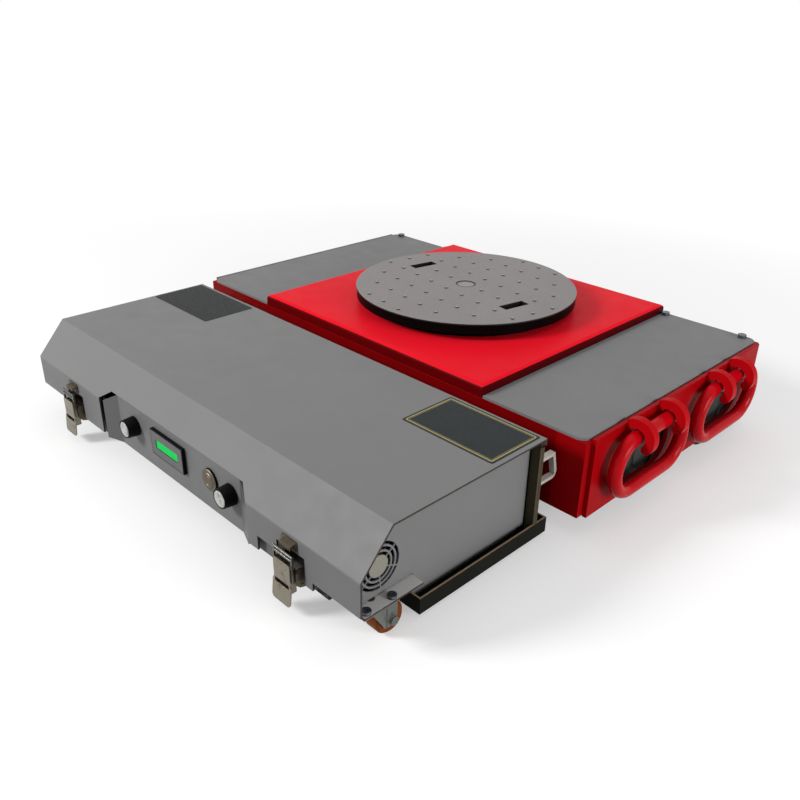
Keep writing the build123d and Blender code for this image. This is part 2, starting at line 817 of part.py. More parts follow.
def make_caster_fork():
    """Fork: a crown under the plate, two legs that lean back to the axle, and the axle bolt."""
    axle = (wheel_y_small, caster_wheel_radius)
    foot = fork_foot
    nose = caster_pivot_y - kingpin_small_radius - 2
    tail = axle[0] + foot
    shape = rod((0, caster_pivot_y, crown_low), (0, caster_pivot_y, crown_top), fork_outside)
    shape += block((-fork_outside, fork_outside), (nose, tail), (crown_low, crown_top))
    toe = axle[0] - 2 * foot
    outline = [(nose, crown_top), (tail, crown_top), (tail, axle[1]), (axle[0], axle[1] - foot),
               (toe, axle[1] - foot), (toe - foot / 2, axle[1]), (nose, crown_low - 2)]
    for side in (-1, 1):
        x0, x1 = sorted((side * fork_inside, side * fork_outside))
        shape += prism_x(outline, x0, x1)
        x0, x1 = sorted((side * (fork_outside - fork_rib), side * (fork_outside + 1)))
        shape -= block((x0, x1), (nose - 1, toe + foot / 2), (0, crown_low))
        head = Plane.YZ.offset(side * fork_outside) * (Pos(*axle) * RegularPolygon(2 * caster_axle_radius, 6))
        shape += extrude(head, side * caster_axle_radius)
    shape += rod((-fork_outside, *axle), (fork_outside, *axle), caster_axle_radius)
    shape -= rod((0, caster_pivot_y, 0), (0, caster_pivot_y, shelf_top), kingpin_small_radius + running_gap)
    return Pos(caster_x, 0, 0) * shape


def make_caster_wheel():
    """Cast wheel with a rounded tread and a plain bore."""
    half = caster_wheel_width / 2
    edge = 3.0
    bore = caster_axle_radius + running_gap
    profile = [(-half, bore), (-half, caster_wheel_radius - edge), (-half + edge, caster_wheel_radius),
               (half - edge, caster_wheel_radius), (half, caster_wheel_radius - edge), (half, bore)]
    return Pos(caster_x, wheel_y_small, caster_wheel_radius) * turned(profile, "X")


# Inside the control box

def make_fan_housing():
    """Round fan housing behind the grille, with three struts and the motor cup."""
    outside = end_face - panel_sheet
    inside = outside - fan_depth
    profile = [(inside, fan_radius), (outside, fan_radius), (outside, fan_radius + fan_wall),
               (inside, fan_radius + fan_wall)]
    shape = turned(profile, "X")
    shape += rod((inside, 0, 0), (inside + fan_cup, 0, 0), fan_hub_radius)
    strut = block((inside, inside + 2), (-1.5, 1.5), (0, fan_radius + fan_wall / 2))
    for turn in range(3):
        shape += Rot(120 * turn, 0, 0) * strut
    return Pos(0, vent_y, vent_height) * shape


def make_fan_rotor():
    """Fan rotor: a hub and pitched blades."""
    outside = end_face - panel_sheet - fan_face_gap
    inside = end_face - panel_sheet - fan_depth + fan_cup + fan_bearing_gap
    shape = rod((inside, 0, 0), (outside, 0, 0), fan_hub_radius)
    tip = fan_radius - fan_tip_gap
    middle = (inside + outside) / 2
    chord = fan_depth - 7
    for turn in range(fan_blades):
        blade = Box(1.4, chord, tip - fan_hub_radius + 2)
        blade = Pos(middle, 0, (tip + fan_hub_radius) / 2 - 1.6) * (Rot(0, 0, 55) * blade)
        shape += Rot(360 / fan_blades * turn, 0, 0) * blade
    return Pos(0, vent_y, vent_height) * shape


def make_battery():
    """Right battery pack, standing on the pan's floor, with two terminals."""
    x0 = battery_gap / 2
    y0 = front_length + tray_sheet + 15
    top = pan_floor + battery_height
    case = block((x0, x0 + battery_length), (y0, y0 + battery_depth), (pan_floor, top))
    case = fillet(case.edges().filter_by(Axis.Z), 8)
    for step in (0.25, 0.75):
        case += rod((x0 + battery_length * step, y0 + 20, top), (x0 + battery_length * step, y0 + 20, top + 8), 7)
    return case


def make_controller():
    """Motor controller with a finned cover, standing on the pan's floor."""
    half = controller_length / 2
    y1 = back_face - tray_sheet - 12
    y0 = y1 - controller_depth
    shape = block((-half, half), (y0, y1), (pan_floor, pan_floor + controller_height * 0.6))
    fins = 9
    for index in range(fins):
        x = -half + 4 + index * (controller_length - 8) / (fins - 1)
        shape += block((x - 1.5, x + 1.5), (y0 + 5, y1 - 5), (pan_floor, pan_floor + controller_height))
    return shape


# Dolly

def make_chassis_plates():
    """Front and rear chassis plates, side by side across the whole length."""
    z = (dolly_clearance, deck_under)
    front = block((-dolly_half, dolly_half), (dolly_front, dolly_front + skirt_thickness), z)
    rear = block((-dolly_half, dolly_half), (dolly_rear - skirt_thickness, dolly_rear), z)
    return [front, rear]


def make_side_rails():
    """Rails between the chassis plates: axle rails, cover beams and edge rails."""
    y = (dolly_front + skirt_thickness, dolly_rear - skirt_thickness)
    rails = []
    for side in (-1, 1):
        x = sorted((side * rail_x, side * (rail_x + rail_thickness)))
        rail = block(x, y, (rail_low, deck_under))
        for row in wheel_rows:
            rail -= rod((x[0] - 1, row, wheel_radius), (x[1] + 1, row, wheel_radius), wheel_shaft_radius + 3)
        rails.append(rail)
        x = sorted((side * beam_outer, side * (beam_outer - rail_thickness)))
        rails.append(block(x, y, (centre_plate_low - rail_thickness, deck_under)))
        x = sorted((side * dolly_half, side * (dolly_half - skirt_thickness)))
        rails.append(block(x, y, (deck_under - edge_rail_height, deck_under)))
    return rails


def make_centre_plate():
    """Load plate under the cover, with the raised boss that carries the turntable."""
    half = beam_outer - rail_thickness
    shape = block((-half, half), (dolly_front + skirt_thickness, dolly_rear - skirt_thickness),
                  (centre_plate_low, centre_plate_top))
    middle = (0, dolly_middle)
    shape += rod((*middle, centre_plate_top), (*middle, boss_top), hub_outer)
    shape -= rod((*middle, centre_plate_top), (*middle, boss_top + 1), hub_inner)
    return shape - rod((*middle, 0), (*middle, boss_top), kingpin_radius)


def window(middle_y_ring):
    """Cutter for one window in the end plate, with round ends."""
    outline = Pos(middle_y_ring, window_middle) * SlotOverall(window_length, window_height)
    face = Plane.YZ.offset(dolly_half - 1) * outline
    return extrude(face, end_plate + 2)


def make_hook(y):
    """Hook welded to the end plate: it arches over the ring's bar, with a jaw under the bar."""
    middle_radius = (hook_inner + hook_outer) / 2
    tip = radians(hook_tip_angle)
    reach = 2 * hook_outer
    outline = Circle(hook_outer) - Circle(hook_inner)
    wedge = make_face(Polyline((0, 0), (reach * cos(tip), reach * sin(tip)), (reach, reach), (-reach, reach),
                               (-reach, 0), close=True))
    outline = outline & wedge
    outline = outline + Pos(middle_radius * cos(tip), middle_radius * sin(tip)) * Circle(hook_stock / 2)
    jaw = radians(hook_jaw_angle)
    seat = ring_bar_radius + hook_seat_gap
    below = Circle(seat + hook_jaw) - Circle(seat)
    lower = make_face(Polyline((0, 0), (reach * cos(jaw), reach * sin(jaw)), (-reach, -reach), (-reach, 0),
                               close=True))
    outline = outline + (below & lower)
    beside = Pos(-ring_stand_off - reach, 0) * Rectangle(2 * reach, 4 * reach)
    outline = outline - beside
    plane = Plane.XZ.offset(-(y + hook_thickness / 2))
    return extrude(plane * (Pos(ring_x, ring_bar_height) * outline), hook_thickness)


def make_end_plate():
    """Right end plate with its two windows."""
    shape = block((dolly_half, end_face_dolly), (dolly_front + skirt_thickness, dolly_rear - skirt_thickness),
                  (end_plate_low, end_plate_top))
    for row in ring_rows:
        shape -= window(row)
    return shape


def make_hooks():
    """The four hooks that hold the rings in front of the right end plate's windows."""
    hooks = [make_hook(row + side * spacing / 2) for row, spacing in hook_rows for side in (-1, 1)]
    return hooks[0] + hooks[1] + hooks[2] + hooks[3]


def make_ring(row):
    """Lifting ring: a round bar bent to a long link, hanging by its upper straight."""
    bend = ring_height / 2
    straight = ring_width / 2 - bend
    top = ring_bar_height
    low = ring_bar_height - ring_height
    x = ring_x
    shape = rod((x, row - straight, top), (x, row + straight, top), ring_bar_radius)
    shape += rod((x, row - straight, low), (x, row + straight, low), ring_bar_radius)
    for end in (-1, 1):
        face = Plane(origin=(x, row + end * straight, top), z_dir=(0, 1, 0)) * Circle(ring_bar_radius)
        turn = Axis((x, row + end * straight, (top + low) / 2), (-end, 0, 0))
        shape += revolve(face, turn, 180)
    return shape


def make_deck_plate():
    """Right deck plate with rounded outer corners."""
    x0 = beam_outer + deck_gap
    x1 = dolly_half - deck_inset
    y0 = dolly_front + deck_gap
    y1 = dolly_rear - deck_gap
    shape = block((x0, x1), (y0, y1), (deck_under, deck_height))
    shape = fillet(shape.edges().filter_by(Axis.Z).sort_by(Axis.X)[-2:], deck_corner)
    for x, y in deck_bolt_places():
        shape -= rod((x, y, deck_under), (x, y, deck_height), deck_bolt_shank)
    return shape


def deck_bolt_places():
    y = dolly_rear - deck_bolt_inset
    return [(beam_outer + deck_bolt_inset, y), (dolly_half - 2 * skirt_thickness, y)]


def hex_bolt(x, y, z, radius, height, shank, depth):
    """Hex-headed bolt standing on a face at z, with its shank below."""
    head = extrude(Plane.XY.offset(z) * (Pos(x, y) * RegularPolygon(radius, 6)), height)
    return head + rod((x, y, z - depth), (x, y, z), shank)


def make_fasteners():
    """Caster bolts on the shelves, and the bolts along the decks' rear edge."""
    bolts = []
    for x, y in caster_bolt_places():
        head_top = shelf_top + caster_bolt_height
        bolt = rod((x, y, shelf_top), (x, y, head_top), caster_bolt_head)
        socket = Plane.XY.offset(head_top - 2) * (Pos(x, y) * RegularPolygon(caster_bolt_radius, 6))
        bolt = bolt - extrude(socket, 2) + rod((x, y, caster_plate_low), (x, y, shelf_top), caster_bolt_radius)
        bolts += [bolt, other_side(bolt)]
    for x, y in deck_bolt_places():
        bolt = hex_bolt(x, y, deck_height, deck_bolt_radius, deck_bolt_head, deck_bolt_shank, deck_sheet)
        bolts += [bolt, other_side(bolt)]
    return bolts


def make_cover():
    """Raised red cover with rounded long edges, open in the middle for the turntable's hub."""
    y0 = dolly_front + deck_gap
    y1 = dolly_rear - deck_gap
    shape = block((-cover_half, cover_half), (y0, y1), (deck_under, cover_top))
    shape = fillet(shape.edges().group_by(Axis.Z)[-1], cover_round)
    shape -= block((-cover_half + cover_sheet, cover_half - cover_sheet), (y0 + cover_sheet, y1 - cover_sheet),
                   (deck_under - 1, cover_top - cover_sheet))
    return shape - rod((0, dolly_middle, 0), (0, dolly_middle, cover_top + 1), hub_outer + cover_hole_gap)


def make_wheel_tyre(row, side):
    """Tyre cast round the hub, with eased shoulders."""
    edge = 4.0
    profile = [(wheel_inner_x, hub_radius), (wheel_inner_x, wheel_radius - edge),
               (wheel_inner_x + edge, wheel_radius), (wheel_outer_x - edge, wheel_radius),
               (wheel_outer_x, wheel_radius - edge), (wheel_outer_x, hub_radius)]
    tyre = Pos(0, row, wheel_radius) * turned(profile, "X")
    return tyre if side > 0 else other_side(tyre)


def make_wheel_hub(row, side):
    """Hub with two turned grooves in its outer face, and the shaft that runs into its drive."""
    web = hub_radius - 12
    cap = hub_radius * 0.42
    face = wheel_outer_x - hub_groove
    end = wheel_inner_x - wheel_shaft_length
    profile = [(end, 0), (end, wheel_shaft_radius), (wheel_inner_x, wheel_shaft_radius),
               (wheel_inner_x, hub_radius), (wheel_outer_x, hub_radius), (wheel_outer_x, web),
               (face, web - 1), (face, cap + 4), (wheel_outer_x - 1, cap + 3), (wheel_outer_x - 1, 0)]
    hub = Pos(0, row, wheel_radius) * turned(profile, "X")
    return hub if side > 0 else other_side(hub)


def make_gear_motor():
    """Right drive: gearbox on the axle rail, with its motor reaching to the middle."""
    row = wheel_rows[0]
    half = gearbox_size / 2
    x1 = rail_x
    x0 = rail_x - gearbox_length
    box = block((x0, x1), (row - half, row + half), (wheel_radius - half, wheel_radius + half))
    box = fillet(box.edges().filter_by(Axis.X), 6)
    motor = rod((x0 - motor_length, row, wheel_radius), (x0, row, wheel_radius), motor_radius)
    bore_end = wheel_inner_x - wheel_shaft_length - 1
    bore = rod((bore_end, row, wheel_radius), (x1 + 1, row, wheel_radius), wheel_shaft_radius + running_gap)
    return box + motor - bore


def make_bearing_unit():
    """Right bearing unit of the undriven wheel: a flange on the axle rail and its housing."""
    row = wheel_rows[1]
    half = bearing_flange / 2
    x1 = rail_x
    flange = block((x1 - bearing_flange_sheet, x1), (row - half, row + half),
                   (wheel_radius - half * 0.7, wheel_radius + half))
    housing = rod((x1 - bearing_flange_sheet - bearing_length, row, wheel_radius), (x1, row, wheel_radius),
                  bearing_radius)
    bore_end = x1 - bearing_flange_sheet - bearing_length - 1
    bore = rod((bore_end, row, wheel_radius), (x1 + 1, row, wheel_radius), wheel_shaft_radius + running_gap)
    return flange + housing - bore


# Turntable

def in_turntable(shape):
    """Put a piece drawn about the Z axis on the turntable at its rest angle."""
    return Pos(0, dolly_middle, 0) * (Rot(0, 0, turntable_angle) * shape)


def make_turntable_disc():
    """Steel disc, stiffener and hub, with two lifting slots and the kingpin's bore."""
    shape = rod((0, 0, disc_under), (0, 0, turntable_top), turntable_radius)
    shape = chamfer(shape.edges().group_by(Axis.Z)[-1], 0.8)
    shape += rod((0, 0, stiffener_under), (0, 0, disc_under), rim_inner - swivel_gap)
    shape += rod((0, 0, washer_top + 0.2), (0, 0, stiffener_under), hub_outer)
    shape -= rod((0, 0, washer_top - 1), (0, 0, stiffener_under), hub_inner)
    shape -= rod((0, 0, stiffener_under - 1), (0, 0, turntable_top + 1), kingpin_radius + running_gap)
    for side in (-1, 1):
        x = side * slot_radius
        shape -= block((x - slot_width / 2, x + slot_width / 2), (-slot_length / 2, slot_length / 2),
                       (stiffener_under - 1, turntable_top + 1))
    return in_turntable(shape)


def make_turntable_rim():
    """Black rim ring under the edge of the disc."""
    low = disc_under - turntable_rim_height
    shape = rod((0, 0, low), (0, 0, disc_under), turntable_radius - 0.8)
    return in_turntable(shape - rod((0, 0, low - 1), (0, 0, disc_under + 1), rim_inner))


def stud_places():
    """A square pattern of studs, without those at the middle, in the slots or past the edge."""
    rows = int(turntable_radius / stud_pitch)
    places = []
    for i in range(-rows - 1, rows + 2):
        for j in range(-rows - 1, rows + 2):
            x = i * stud_pitch
            y = j * stud_pitch
            in_slot = abs(abs(x) - slot_radius) < slot_width and abs(y) < slot_length / 2 + stud_radius
            past_edge = hypot(x, y) > turntable_radius - stud_margin
            at_middle = hypot(x, y) < kingpin_radius + stud_radius
            if not (in_slot or past_edge or at_middle):
                places.append((x, y))
    return places


def make_grip_studs():
    """Raised studs that keep the load from sliding."""
    tip = turntable_top + stud_height
    profile = [(turntable_top, 0), (turntable_top, stud_radius), (tip, stud_radius * 0.4), (tip, 0)]
    stud = turned(profile, "Z")
    return [in_turntable(Pos(x, y, 0) * stud) for x, y in stud_places()]


def make_kingpin():
    """Kingpin flanged under the centre plate; its top shows in the middle of the disc."""
    middle = (0, dolly_middle)
    shape = rod((*middle, centre_plate_low - kingpin_flange), (*middle, centre_plate_low), kingpin_flange_radius)
    return shape + rod((*middle, centre_plate_low), (*middle, turntable_top - kingpin_recess), kingpin_radius)


def make_washer():
    """Bronze thrust washer between the boss and the turntable's hub."""
    middle = (0, dolly_middle)
    ring = rod((*middle, boss_top), (*middle, washer_top), hub_outer - washer_land)
    return ring - rod((*middle, boss_top - 1), (*middle, washer_top + 1), hub_inner + washer_land)


# Couplings

def make_couplings():
    """Pull straps on the box's back, and the lower bars that join the box to the dolly."""
    reach = back_face + strap_reach
    path = [(back_face, strap_low), (reach + strap_lean, strap_low), (reach, strap_top), (back_face, strap_top)]
    x1 = half_length
    strap = folded(path, -strap_thickness, x1 - strap_width, x1)
    outer = strap.edges().filter_by(Axis.X).sort_by(Axis.Y)
    strap = fillet(outer[-1], strap_corner)
    half = coupling_bar_width / 2
    bar = block((coupling_bar_x - half, coupling_bar_x + half), (pan_rear, dolly_front + skirt_thickness / 2),
                (coupling_bar_low, coupling_bar_low + coupling_bar_height))
    ear = block((coupling_bar_x - half, coupling_bar_x + half), (dolly_front - 8, dolly_front),
                (coupling_bar_low, dolly_clearance + 24))
    bar = (bar & block((0, box_length), (0, dolly_front), (0, box_height))) + ear
    return [strap, other_side(strap), bar, other_side(bar)]


def place_all():
    """Name every sub-part and store it."""
    keep("hood", make_hood())
    keep("latch_keepers", Compound([make_keeper(latch_x), make_keeper(-latch_x)]))
    keep("base_tray", make_base_tray())
    keep("front_frame", make_front_frame())
    keep("back_panel", make_back_panel())
    end_panel = make_end_panel()
    keep("end_panel_right", end_panel)
    keep("end_panel_left", other_side(end_panel))
    keep("control_panel", make_control_panel())
    keep("meter_bezel", make_meter_bezel())
    keep("meter_screen", make_meter_screen())
    keep("button_bezel", make_button_bezel())
    keep("push_button", make_push_button())
    for name, x in (("left", dial_left_x), ("right", dial_right_x)):
        keep(f"dial_{name}", make_dial(x))
        keep(f"dial_cap_{name}", make_dial_cap(x))
    keep("latch_bases", Compound([make_latch_base(latch_x), make_latch_base(-latch_x)]))
    for name, x in (("left", -latch_x), ("right", latch_x)):
        keep(f"latch_lever_{name}", make_latch_lever(x))
        keep(f"latch_bail_{name}", make_latch_bail(x))
    plate = make_caster_plate()
    keep("caster_plates", Compound([plate, other_side(plate)]))
    for name, build in (("caster_fork", make_caster_fork), ("caster_wheel", make_caster_wheel),
                        ("fan_rotor", make_fan_rotor)):
        shape = build()
        keep(f"{name}_right", shape)
        keep(f"{name}_left", other_side(shape))
    for name, build in (("fan_housings", make_fan_housing), ("battery_packs", make_battery),
                        ("gear_motors", make_gear_motor), ("bearing_units", make_bearing_unit),
                        ("deck_plates", make_deck_plate)):
        shape = build()
        keep(name, Compound([shape, other_side(shape)]))
    keep("motor_controller", make_controller())
    keep("chassis_plates", Compound(make_chassis_plates()))
    keep("side_rails", Compound(make_side_rails()))
    keep("centre_plate", make_centre_plate())
    end_plate_shape = make_end_plate()
    keep("end_plate_right", end_plate_shape + make_hooks())
    keep("end_plate_left", other_side(end_plate_shape))
    keep("lifting_ring_front_right", make_ring(ring_rows[0]))
    keep("lifting_ring_rear_right", make_ring(ring_rows[1]))
    for side_name, side in (("right", 1), ("left", -1)):
        for row_name, wheel_row in zip(("front", "rear"), wheel_rows):
            keep(f"wheel_tyre_{row_name}_{side_name}", make_wheel_tyre(wheel_row, side))
            keep(f"wheel_hub_{row_name}_{side_name}", make_wheel_hub(wheel_row, side))
    keep("fasteners", Compound(make_fasteners()))
    keep("center_cover", make_cover())
    keep("turntable_disc", make_turntable_disc())
    keep("turntable_rim", make_turntable_rim())
    keep("grip_studs", Compound(make_grip_studs()))
    keep("kingpin", make_kingpin())
    keep("thrust_washer", make_washer())
    keep("couplings", Compound(make_couplings()))


place_all()
os.makedirs("parts", exist_ok=True)
for part_name, part_shape in kept.items():
    export_step(part_shape, f"parts/{part_name}.step")
print(len(kept), "sub-parts")
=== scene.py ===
import bpy
import bmesh
from math import cos, radians, sin
from mathutils import Matrix, Vector


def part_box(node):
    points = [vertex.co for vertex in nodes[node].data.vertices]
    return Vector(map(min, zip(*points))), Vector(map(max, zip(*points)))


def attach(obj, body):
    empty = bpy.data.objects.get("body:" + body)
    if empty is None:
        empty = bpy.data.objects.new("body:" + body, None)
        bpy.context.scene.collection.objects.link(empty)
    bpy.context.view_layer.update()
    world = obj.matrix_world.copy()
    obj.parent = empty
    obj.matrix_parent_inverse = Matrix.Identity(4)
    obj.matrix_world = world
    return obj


# Automated guided vehicle: materials, plates and light round the solids of the frame.
# Metres, in the frame's own axes: X to the right, Y from the control panel to the dolly, Z up.

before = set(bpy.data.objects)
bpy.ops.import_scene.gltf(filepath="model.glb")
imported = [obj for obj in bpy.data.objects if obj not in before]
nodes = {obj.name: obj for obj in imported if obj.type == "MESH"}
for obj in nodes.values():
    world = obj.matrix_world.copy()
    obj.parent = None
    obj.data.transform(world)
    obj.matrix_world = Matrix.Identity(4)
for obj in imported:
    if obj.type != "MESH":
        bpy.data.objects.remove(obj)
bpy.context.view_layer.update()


def middle(name):
    """The middle of a node's box."""
    low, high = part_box(name)
    return tuple((a + b) / 2 for a, b in zip(low, high))


hood_low, hood_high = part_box("hood")
middle_x = middle("hood")[0]
hood_front = hood_low[1]
hood_top = hood_high[2]


# Shader nodes

def link(tree, source, target):
    tree.links.new(source, target)


def feed(tree, value, socket):
    """Set a socket to a number or a colour, or link it to another node's output."""
    if isinstance(value, (int, float)):
        socket.default_value = value
    elif isinstance(value, tuple):
        socket.default_value = (*value, 1.0)
    else:
        link(tree, value, socket)


def new_material(name):
    material = bpy.data.materials.new(name)
    material.use_nodes = True
    tree = material.node_tree
    return material, tree, tree.nodes["Principled BSDF"]


def place(tree):
    """Object coordinates: metres in the part's own frame."""
    return tree.nodes.new("ShaderNodeTexCoord").outputs["Object"]


def noise(tree, scale, detail=3.0, stretch=None, rough=0.5):
    """A noise texture with so many features per metre, stretched along an axis if asked."""
    node = tree.nodes.new("ShaderNodeTexNoise")
    node.inputs["Scale"].default_value = scale
    node.inputs["Detail"].default_value = detail
    node.inputs["Roughness"].default_value = rough
    coordinates = place(tree)
    if stretch:
        mapping = tree.nodes.new("ShaderNodeMapping")
        mapping.inputs["Scale"].default_value = stretch
        link(tree, coordinates, mapping.inputs["Vector"])
        coordinates = mapping.outputs["Vector"]
    link(tree, coordinates, node.inputs["Vector"])
    return node.outputs["Fac"]


def spread(tree, value, low, high, start=0.3, end=0.7):
    """Map the values from start to end onto low to high."""
    node = tree.nodes.new("ShaderNodeMapRange")
    node.inputs["From Min"].default_value = start
    node.inputs["From Max"].default_value = end
    node.inputs["To Min"].default_value = low
    node.inputs["To Max"].default_value = high
    link(tree, value, node.inputs["Value"])
    return node.outputs["Result"]


def mix(tree, factor, first, second):
    """Blend two colours."""
    node = tree.nodes.new("ShaderNodeMix")
    node.data_type = "RGBA"
    link(tree, factor, node.inputs["Factor"])
    feed(tree, first, node.inputs[6])
    feed(tree, second, node.inputs[7])
    return node.outputs[2]


def blend(tree, factor, first, second):
    """Blend two shaders."""
    node = tree.nodes.new("ShaderNodeMixShader")
    link(tree, factor, node.inputs["Fac"])
    link(tree, first.outputs[0], node.inputs[1])
    link(tree, second.outputs[0], node.inputs[2])
    return node


def maths(tree, operation, *values):
    node = tree.nodes.new("ShaderNodeMath")
    node.operation = operation
    for socket, value in zip(node.inputs, values):
        feed(tree, value, socket)
    return node.outputs[0]


def length(tree, vector):
    node = tree.nodes.new("ShaderNodeVectorMath")
    node.operation = "LENGTH"
    link(tree, vector, node.inputs[0])
    return node.outputs["Value"]


def shade(colour, factor):
    return tuple(min(1.0, channel * factor) for channel in colour)


def clouded(tree, colour, patch, scale, detail):
    """A colour that drifts by the share named patch to each side."""
    clouds = spread(tree, noise(tree, scale, detail), 0, 1)
    return mix(tree, clouds, shade(colour, 1 - patch), shade(colour, 1 + patch))


def bump(tree, shader, height, strength, distance, edge=0.0):
    """Bump from one height, over edges that are softened by a radius."""
    node = tree.nodes.new("ShaderNodeBump")
    node.inputs["Strength"].default_value = strength
    node.inputs["Distance"].default_value = distance
    link(tree, height, node.inputs["Height"])
    if edge:
        bevel = tree.nodes.new("ShaderNodeBevel")
        bevel.samples = 4
        bevel.inputs["Radius"].default_value = edge
        link(tree, bevel.outputs["Normal"], node.inputs["Normal"])
    link(tree, node.outputs["Normal"], shader.inputs["Normal"])


# Marks: places on a node that are painted in another colour. A mark is a list of conditions and a
# colour. facing is the least part of a normal along an axis for a surface to look that way, and
# past_one and past_end lie outside any normal and outside the ends of the part.

# Most of the marks below are painted shade or painted light, set into a surface's colour.
facing = 0.7
past_one = 1.3
past_end = 0.5


def band(axis, low, high):
    """Between two places along an axis."""
    return "place", axis, low, high


def across(low, high):
    """Between two distances from the middle of the box, to the right or the left."""
    return "side", "X", low, high


def faces(axis, way, least=facing):
    """Where the surface looks along an axis, by at least so much."""
    low, high = sorted((way * least, way * past_one))
    return "normal", axis, low, high


def leaning(axis, low, high):
    """Where the surface's normal has its part along an axis between two values."""
    return "normal", axis, low, high


def ring(centre, low, high):
    """Between two radii round a point that has None along the axis of the ring."""
    return "radius", centre, low, high


def measure(tree, source, axis):
    """The value that a condition is tested on."""
    coordinates = tree.nodes.new("ShaderNodeTexCoord").outputs["Normal" if source == "normal" else "Object"]
    if source == "radius":
        flat = tree.nodes.new("ShaderNodeMapping")
        flat.inputs["Location"].default_value = [0 if value is None else -value for value in axis]
        flat.inputs["Scale"].default_value = [0 if value is None else 1 for value in axis]
        link(tree, coordinates, flat.inputs["Vector"])
        return length(tree, flat.outputs["Vector"])
    parts = tree.nodes.new("ShaderNodeSeparateXYZ")
    link(tree, coordinates, parts.inputs[0])
    if source == "side":
        return maths(tree, "ABSOLUTE", maths(tree, "SUBTRACT", parts.outputs[axis], middle_x))
    return parts.outputs[axis]


def mask(tree, conditions):
    """1 where all conditions hold."""
    result = None
    for source, axis, low, high in conditions:
        value = measure(tree, source, axis)
        inside = maths(tree, "COMPARE", value, (low + high) / 2, (high - low) / 2)
        result = inside if result is None else maths(tree, "MULTIPLY", result, inside)
    return result


def marked(tree, base, marks):
    """The base colour with other colours where their conditions hold."""
    for conditions, colour in marks:
        base = mix(tree, mask(tree, conditions), base, colour)
    return base


# Families of material

settled_dust = (0.3, 0.29, 0.27)


def paint(name, colour, roughness, patch, grain=900.0, depth=0.00004, edge=0.0007, specular=0.5,
          dust=0.0, marks=()):
    """Sprayed paint: faint cloudy patches, orange peel and softened edges."""
    material, tree, shader = new_material(name)
    base = clouded(tree, colour, patch, scale=7.0, detail=4.0)
    fine = noise(tree, 160.0)
    base = mix(tree, spread(tree, fine, 0, 0.5), base, shade(colour, 1 - patch * 0.6))
    if dust:
        settled = noise(tree, 18.0, 5.0)
        base = mix(tree, spread(tree, settled, 0, dust, start=0.5, end=0.75), base, settled_dust)
    link(tree, marked(tree, base, marks), shader.inputs["Base Color"])
    sheen = spread(tree, noise(tree, 35.0, 4.0), roughness - 0.05, roughness + 0.07)
    link(tree, sheen, shader.inputs["Roughness"])
    shader.inputs["Specular IOR Level"].default_value = specular
    bump(tree, shader, noise(tree, grain, 2.0), strength=0.35, distance=depth, edge=edge)
    return material


def metal(name, colour, roughness, grain=(1.0, 1.0, 1.0), lines=700.0, depth=0.00003, edge=0.0004,
          patch=0.12, metallic=1.0, stain=None, marks=()):
    """Metal with a directional or even grain, and stains where asked."""
    material, tree, shader = new_material(name)
    brushed = noise(tree, lines, 4.0, grain, 0.65)
    base = clouded(tree, colour, patch, scale=24.0, detail=4.0)
    base = mix(tree, spread(tree, brushed, 0, 0.7), base, shade(colour, 1 - 1.6 * patch))
    if stain:
        spots = noise(tree, 90.0, 5.0)
        base = mix(tree, spread(tree, spots, 0, 0.55, start=0.56, end=0.72), base, stain)
    link(tree, marked(tree, base, marks), shader.inputs["Base Color"])
    shader.inputs["Metallic"].default_value = metallic
    link(tree, spread(tree, brushed, roughness - 0.07, roughness + 0.1), shader.inputs["Roughness"])
    bump(tree, shader, brushed, strength=0.4, distance=depth, edge=edge)
    return material


def plastic(name, colour, roughness, grain=1500.0, depth=0.00003, specular=0.5, patch=0.08):
    """Moulded plastic or rubber: fine grain, slight colour drift, softened edges."""
    material, tree, shader = new_material(name)
    link(tree, clouded(tree, colour, patch, scale=40.0, detail=3.0), shader.inputs["Base Color"])
    sheen = spread(tree, noise(tree, 200.0), roughness - 0.06, roughness + 0.08)
    link(tree, sheen, shader.inputs["Roughness"])
    shader.inputs["Specular IOR Level"].default_value = specular
    bump(tree, shader, noise(tree, grain, 2.0), strength=0.5, distance=depth, edge=0.0005)
    return material


def speckled_steel(name, colour, marks=()):
    """The turntable's face: dense fine pits and a light scatter of pale grains."""
    material, tree, shader = new_material(name)
    pits = noise(tree, 420.0, 5.0, rough=0.75)
    grains = spread(tree, noise(tree, 700.0), 0, 0.7, start=0.58, end=0.74)
    base = clouded(tree, colour, patch=0.08, scale=9.0, detail=4.0)
    base = mix(tree, spread(tree, pits, 0, 1, start=0.35, end=0.65), shade(colour, 0.8), base)
    base = mix(tree, grains, base, shade(colour, 1.6))
    link(tree, marked(tree, base, marks), shader.inputs["Base Color"])
    shader.inputs["Specular IOR Level"].default_value = 0.25
    link(tree, spread(tree, pits, 0.42, 0.62), shader.inputs["Roughness"])
    bump(tree, shader, pits, strength=0.6, distance=0.00012, edge=0.0005)
    return material


